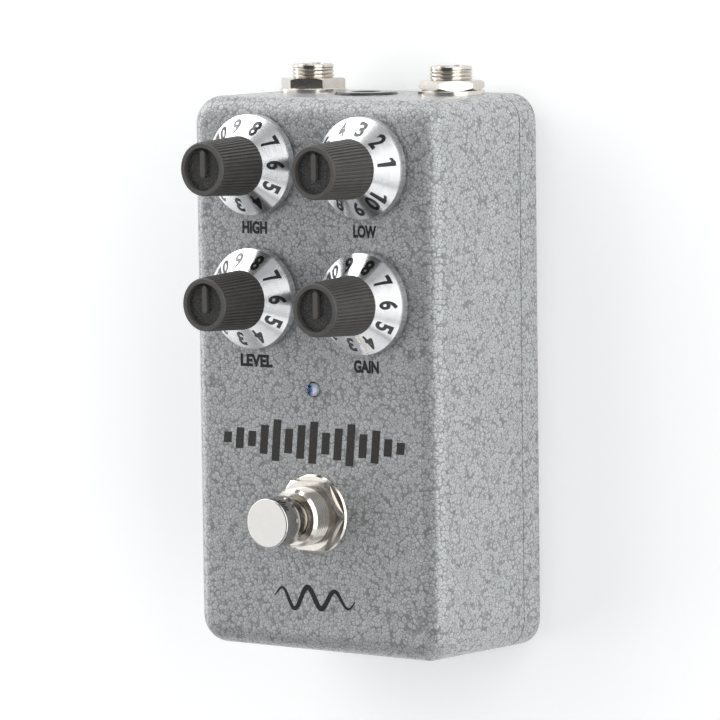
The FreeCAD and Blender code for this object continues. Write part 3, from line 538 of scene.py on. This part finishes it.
def make_finishes():
    """Every finish by the record's slot, and the inks and the lamp's inside by their own names."""
    finishes = (
        hammered_paint("enclosure_paint"),
        metal("screw_steel", (0.5, 0.5, 0.5), 0.3),
        moulded("rubber", (0.012, 0.012, 0.012), (0.022, 0.022, 0.022), 0.7),
        knob_plastic("knob_plastic"),
        turned_metal("dial_aluminium", ALUMINIUM, 0.22, anisotropy=0.7),
        metal("shaft_metal", (0.7, 0.69, 0.67), 0.3),
        metal("pot_case", STEEL, 0.35),
        metal("nickel_plate", NICKEL, 0.16, dull=0.9),
        metal(
            "polished_nickel", POLISHED_NICKEL, 0.09, size=1.2 * MM, depth=0.0003 * MM, dull=0.97
        ),
        metal("switch_metal", STEEL, 0.3),
        moulded("switch_plastic", (0.02, 0.06, 0.2), (0.03, 0.08, 0.25), 0.4),
        metal("contact_metal", (0.83, 0.8, 0.72), 0.2),
        metal("spring_steel", (0.6, 0.6, 0.6), 0.22),
        moulded("jack_plastic", (0.01, 0.01, 0.01), (0.018, 0.018, 0.018), 0.4),
        moulded(
            "socket_plastic", (0.008, 0.008, 0.008), (0.014, 0.014, 0.014), 0.22, coat_weight=0.4
        ),
        moulded("socket_nut", (0.01, 0.01, 0.01), (0.02, 0.02, 0.02), 0.4),
        clear_lens("clear_lens"),
        circuit_board("circuit_board"),
        moulded("ribbon", (0.3, 0.3, 0.31), (0.38, 0.38, 0.4), 0.5),
        moulded("lead_insulation", (0.25, 0.015, 0.012), (0.32, 0.02, 0.018), 0.4),
        moulded("chip_black", (0.012, 0.012, 0.013), (0.022, 0.022, 0.023), 0.55),
        moulded("capacitor_sleeve", (0.01, 0.014, 0.05), (0.014, 0.02, 0.07), 0.35),
        moulded("film_box", (0.28, 0.03, 0.02), (0.36, 0.05, 0.03), 0.45),
        moulded("resistor_coat", (0.45, 0.36, 0.22), (0.55, 0.45, 0.28), 0.5),
        lamp_blue("lamp_blue"),
        paint_ink("face_ink", 1),
        paint_ink("label_ink", 1 / 3),
        dial_ink("dial_ink"),
    )
    return {plain_name(material): material for material in finishes}


def dress_frame(finishes):
    """Gives every CAD node the finish that its material slot names."""
    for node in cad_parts.values():
        for place in node.material_slots:
            place.material = finishes[plain_name(place.material)]


# ---------------------------------------------------------------- meshes


def piece(name, bm, material, body):
    """A finished mesh as a piece that moves with a body."""
    bmesh.ops.recalc_face_normals(bm, faces=bm.faces)
    mesh = bpy.data.meshes.new(name)
    bm.to_mesh(mesh)
    bm.free()
    mesh.materials.append(material)
    obj = bpy.data.objects.new(name, mesh)
    scene.collection.objects.link(obj)
    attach(obj, body)
    return obj


def merged(parts):
    """Several meshes as one."""
    whole = bmesh.new()
    for part in parts:
        mesh = bpy.data.meshes.new("part")
        part.to_mesh(mesh)
        part.free()
        whole.from_mesh(mesh)
        bpy.data.meshes.remove(mesh)
    return whole


def moved(bm, x, y, z):
    bmesh.ops.translate(bm, verts=bm.verts, vec=(x, y, z))
    return bm


def lathed(profile, steps, centre):
    """A closed solid of revolution about a vertical line, from (radius, height) points."""
    bm = bmesh.new()
    verts = [bm.verts.new((radius, 0, height)) for radius, height in profile]
    bmesh.ops.spin(
        bm,
        geom=[bm.edges.new(pair) for pair in zip(verts, verts[1:])],
        axis=(0, 0, 1),
        cent=(0, 0, 0),
        angle=2 * math.pi,
        steps=steps,
    )
    bmesh.ops.remove_doubles(bm, verts=bm.verts, dist=1e-6)
    return moved(bm, centre.x, centre.y, 0)


# ---------------------------------------------------------------- printed marks

INK_PROUD = 0.02 * MM
INK_SUNK = 0.02 * MM


def slab(outline):
    """A thin closed slab of ink from the outline of a shape, in metres."""
    bm = bmesh.new()
    face = bm.faces.new([bm.verts.new((x, y, -INK_SUNK)) for x, y in outline])
    raised = bmesh.ops.extrude_face_region(bm, geom=[face])
    tops = [g for g in raised["geom"] if isinstance(g, bmesh.types.BMVert)]
    bmesh.ops.translate(bm, verts=tops, vec=(0, 0, INK_PROUD + INK_SUNK))
    return bm


def lettering(text, width, height, weight):
    """Upright lettering of that width and height, centred on the origin, as a thin closed slab."""
    curve = bpy.data.curves.new("lettering", "FONT")
    curve.body = text
    curve.offset = weight
    curve.extrude = 0.05  # any thickness does, as the slab's own replaces it
    curve.resolution_u = 5
    holder = bpy.data.objects.new("lettering", curve)
    scene.collection.objects.link(holder)
    seen = holder.evaluated_get(bpy.context.evaluated_depsgraph_get())
    mesh = bpy.data.meshes.new_from_object(seen)
    bpy.data.objects.remove(holder)
    bpy.data.curves.remove(curve)
    bm = bmesh.new()
    bm.from_mesh(mesh)
    bpy.data.meshes.remove(mesh)
    bmesh.ops.remove_doubles(bm, verts=bm.verts, dist=1e-5)
    low = Vector([min(v.co[i] for v in bm.verts) for i in range(3)])
    high = Vector([max(v.co[i] for v in bm.verts) for i in range(3)])
    size, middle = high - low, (high + low) / 2
    for v in bm.verts:
        flat = v.co - middle
        v.co = (
            flat.x * width / size.x,
            flat.y * height / size.y,
            INK_PROUD if flat.z > 0 else -INK_SUNK,
        )
    return bm


DIGIT_HEIGHT = 4.05 * MM
DIGIT_WIDTH = 2.0 * MM
DIGIT_WEIGHT = 0.035
BEND_STEP = 0.2 * MM

# shares of the digits' height: the gap between two, the room for a 1, and the 1's outline
DIGIT_GAP = 0.14
ONE_WIDTH = 0.4
ONE = (
    (-0.02, -0.5),
    (0.2, -0.5),
    (0.2, 0.5),
    (0.03, 0.5),
    (-0.2, 0.34),
    (-0.2, 0.17),
    (-0.02, 0.27),
)


def figure(number):
    """The digits of a number side by side, centred on the origin, as a thin closed slab."""
    gap = DIGIT_GAP * DIGIT_HEIGHT
    parts, edge = [], 0.0
    for digit in str(number):
        if digit == "1":
            span = ONE_WIDTH * DIGIT_HEIGHT
            part = slab([(x * DIGIT_HEIGHT, y * DIGIT_HEIGHT) for x, y in ONE])
        else:
            span = DIGIT_WIDTH
            part = lettering(digit, DIGIT_WIDTH, DIGIT_HEIGHT, DIGIT_WEIGHT)
        parts.append(moved(part, edge + span / 2, 0, 0))
        edge += span + gap
    return moved(merged(parts), -(edge - gap) / 2, 0, 0)


def sliced(bm, step):
    """The mesh cut across X every step, so that it can bend."""
    edge = max(abs(v.co.x) for v in bm.verts)
    count = int(edge / step)
    for i in range(-count, count + 1):
        bmesh.ops.bisect_plane(
            bm,
            geom=bm.verts[:] + bm.edges[:] + bm.faces[:],
            plane_co=(i * step, 0, 0),
            plane_no=(1, 0, 0),
        )
    return bm


def on_cone(bm, centre, clockwise):
    """Lays flat lettering on a dial's cone, its top outwards, that far clockwise from +Y."""
    middle = (CONE_OUTER + CONE_INNER) / 2
    down = (CONE_OUTER - CONE_INNER).normalized()
    out = Vector((-down.y, down.x))
    for v in bm.verts:
        along = middle + down * v.co.y + out * v.co.z
        turn = math.radians(clockwise) + v.co.x / middle.x
        v.co = (
            centre.x + along.x * math.sin(turn),
            centre.y + along.x * math.cos(turn),
            FACE_Z + along.y,
        )
    return bm


def make_dial_numbers(ink):
    for dial in DIALS:
        digits = []
        for number in NUMBERS:
            flat = sliced(figure(number), BEND_STEP)
            clockwise = (READING[dial] - number) * DEGREES_PER_NUMBER
            digits.append(on_cone(flat, DIAL_CENTRE[dial], clockwise))
        piece(f"{dial}_dial_numbers", merged(digits), ink, f"{dial}_dial")


LABEL_WIDTH = {"high": 6.7 * MM, "low": 6.1 * MM, "level": 8.7 * MM, "gain": 6.6 * MM}
LABEL_HEIGHT = 2.8 * MM
LABEL_WEIGHT = 0.05
LABEL_LEFT = 0.5 * MM  # of its dial's centre
LABEL_BELOW = 13.8 * MM


def make_labels(ink):
    """What each dial sets, printed under it."""
    labels = []
    for dial in DIALS:
        flat = lettering(dial.upper(), LABEL_WIDTH[dial], LABEL_HEIGHT, LABEL_WEIGHT)
        centre = DIAL_CENTRE[dial]
        labels.append(moved(flat, centre.x - LABEL_LEFT, centre.y - LABEL_BELOW, FACE_Z))
    piece("dial_labels", merged(labels), ink, "pedal")


BAR_HEIGHTS = (2.4, 4.6, 3.4, 6.4, 9.2, 5.4, 7.4, 9.2, 4.8, 7.0, 9.2, 5.2, 7.2, 3.8, 2.6)  # in mm
BAR_WIDTH = 2.1 * MM
BAR_LEAN = 0.09
BARS_LENGTH = 48.4 * MM
BARS_X = -0.2 * MM
BARS_Y = -17.6 * MM


def make_level_bars(ink):
    """A plain row of level bars across the face."""
    pitch = (BARS_LENGTH - BAR_WIDTH) / (len(BAR_HEIGHTS) - 1)
    bars = []
    for i, height in enumerate(BAR_HEIGHTS):
        x = (i - (len(BAR_HEIGHTS) - 1) / 2) * pitch + BARS_X
        half, tall = BAR_WIDTH / 2, height / 2 * MM
        lean = BAR_LEAN * tall
        outline = [
            (x - half - lean, -tall),
            (x + half - lean, -tall),
            (x + half + lean, tall),
            (x - half + lean, tall),
        ]
        bars.append(moved(slab(outline), 0, BARS_Y, FACE_Z))
    piece("level_bars", merged(bars), ink, "pedal")


WAVE_STEPS = 96
WAVE_CENTRE = Vector((-0.4, -51.8)) * MM
WAVE_LENGTH = 21.6 * MM
WAVE_RADIANS = 6 * math.pi  # three whole waves


def make_flourish(ink):
    """A plain wavy line, thick in its middle and thin at its ends."""
    left, right = [], []
    for i in range(WAVE_STEPS + 1):
        t = i / WAVE_STEPS
        x = (t - 0.5) * WAVE_LENGTH
        phase = WAVE_RADIANS * t
        swing = (2.9 - 1.3 * t) * MM
        y = swing * math.sin(phase) * min(1, 4 * t + 0.3)
        slope = swing * WAVE_RADIANS * math.cos(phase) / WAVE_LENGTH
        across = Vector((-slope, 1)).normalized()
        half_width = (0.15 + 0.47 * math.sin(math.pi * t)) * MM
        middle = WAVE_CENTRE + Vector((x, y))
        left.append(middle + across * half_width)
        right.append(middle - across * half_width)
    bm = bmesh.new()
    rows = [
        [bm.verts.new((*p, FACE_Z + z)) for p in (a, b) for z in (-INK_SUNK, INK_PROUD)]
        for a, b in zip(left, right)
    ]
    for (a0, a1, b0, b1), (c0, c1, d0, d1) in zip(rows, rows[1:]):
        for corners in ((a1, b1, d1, c1), (a0, c0, d0, b0), (a0, a1, c1, c0), (b0, d0, d1, b1)):
            bm.faces.new(corners)
    for a0, a1, b0, b1 in (rows[0], rows[-1]):
        bm.faces.new((a0, b0, b1, a1))
    piece("flourish", bm, ink, "pedal")


# ---------------------------------------------------------------- footswitch's cap

CAP_RIM = 0.32 * MM  # radius of its rounded top edge
CAP_RIM_STEPS = 8
CAP_FOOT = 0.2 * MM  # its bottom edge's bevel
CAP_TURN_STEPS = 160


def make_cap(material):
    """The footswitch's button, turned finely enough for clean reflections."""
    low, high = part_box("footswitch_cap")
    radius, centre = (high.x - low.x) / 2, (low + high) / 2
    profile = [(0.0, low.z), (radius - CAP_FOOT, low.z), (radius, low.z + CAP_FOOT)]
    for step in range(CAP_RIM_STEPS + 1):
        a = math.radians(step * 90 / CAP_RIM_STEPS)
        out, up = 1 - math.cos(a), 1 - math.sin(a)
        profile.append((radius - CAP_RIM * out, high.z - CAP_RIM * up))
    profile.append((0.0, high.z))
    turned = lathed(profile, CAP_TURN_STEPS, centre)
    cap = piece("switch_cap", turned, material, "footswitch_button")
    for face in cap.data.polygons:
        face.use_smooth = abs(face.normal.z) < 0.999  # all but its flat top and bottom
    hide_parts("footswitch_cap")


# ---------------------------------------------------------------- footswitch's spring

SPRING_WIRE = 0.3 * MM  # the wire's radius
SPRING_PITCH = 1.45 * MM
STEPS_PER_TURN = 32
WIRE_SIDES = 10


def make_spring(material):
    """The footswitch's return spring, here one fixed coil that rides the pedal's body, though the
    real one shortens as the button goes down.
    """
    low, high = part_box("footswitch_spring")
    radius = (high.x - low.x) / 2 - SPRING_WIRE
    rise = high.z - low.z - 2 * SPRING_WIRE
    axis = Vector(((low.x + high.x) / 2, (low.y + high.y) / 2, low.z + SPRING_WIRE))
    steps = round(rise / SPRING_PITCH * STEPS_PER_TURN)
    up = Vector((0, 0, 1))
    bm = bmesh.new()
    rings = []
    for i in range(steps + 1):
        turn = 2 * math.pi * i / STEPS_PER_TURN
        out = Vector((math.cos(turn), math.sin(turn), 0))
        middle = axis + out * radius + up * (rise * i / steps)
        ring = []
        for side in range(WIRE_SIDES):
            a = 2 * math.pi * side / WIRE_SIDES
            ring.append(bm.verts.new(middle + (out * math.cos(a) + up * math.sin(a)) * SPRING_WIRE))
        rings.append(ring)
    for a, b in zip(rings, rings[1:]):
        for side in range(WIRE_SIDES):
            after = (side + 1) % WIRE_SIDES
            bm.faces.new((a[side], a[after], b[after], b[side]))
    bm.faces.new(rings[0])
    bm.faces.new(rings[-1])
    spring = piece("switch_spring", bm, material, "pedal")
    for face in spring.data.polygons:
        face.use_smooth = len(face.vertices) == 4
    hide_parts("footswitch_spring")
    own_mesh(spring)


# ---------------------------------------------------------------- lamp

# radius and height above the face of the core's outline, in mm
LAMP_CORE = ((0.0, -4.6), (1.3, -4.6), (1.36, -0.4), (1.34, 0.55), (0.8, 0.5), (0.0, 0.3))
LAMP_CORE_STEPS = 32


def make_lamp_core(material):
    """The blue die holder that shows inside the clear lamp: a small dished post."""
    profile = [(radius * MM, FACE_Z + height * MM) for radius, height in LAMP_CORE]
    core = lathed(profile, LAMP_CORE_STEPS, centre_of("led_lens"))
    piece("lamp_core", core, material, "pedal")


# ---------------------------------------------------------------- floor

FLOOR_HALF = 4.0
FLOOR_Z = -0.0002  # just clear of the rubber feet


def make_floor(material):
    bm = bmesh.new()
    bmesh.ops.create_grid(bm, x_segments=12, y_segments=12, size=FLOOR_HALF)
    mesh = bpy.data.meshes.new("floor")
    bm.to_mesh(mesh)
    bm.free()
    mesh.materials.append(material)
    floor = bpy.data.objects.new("floor", mesh)
    floor.location = (0, 0, FLOOR_Z)
    scene.collection.objects.link(floor)


def main():
    make_camera()
    make_light()
    make_floor(pale_floor("pale_floor"))
    finishes = make_finishes()
    dress_frame(finishes)
    make_dial_numbers(finishes["dial_ink"])
    make_labels(finishes["label_ink"])
    make_level_bars(finishes["face_ink"])
    make_flourish(finishes["label_ink"])
    make_cap(finishes["polished_nickel"])
    make_spring(finishes["spring_steel"])
    make_lamp_core(finishes["lamp_blue"])


main()
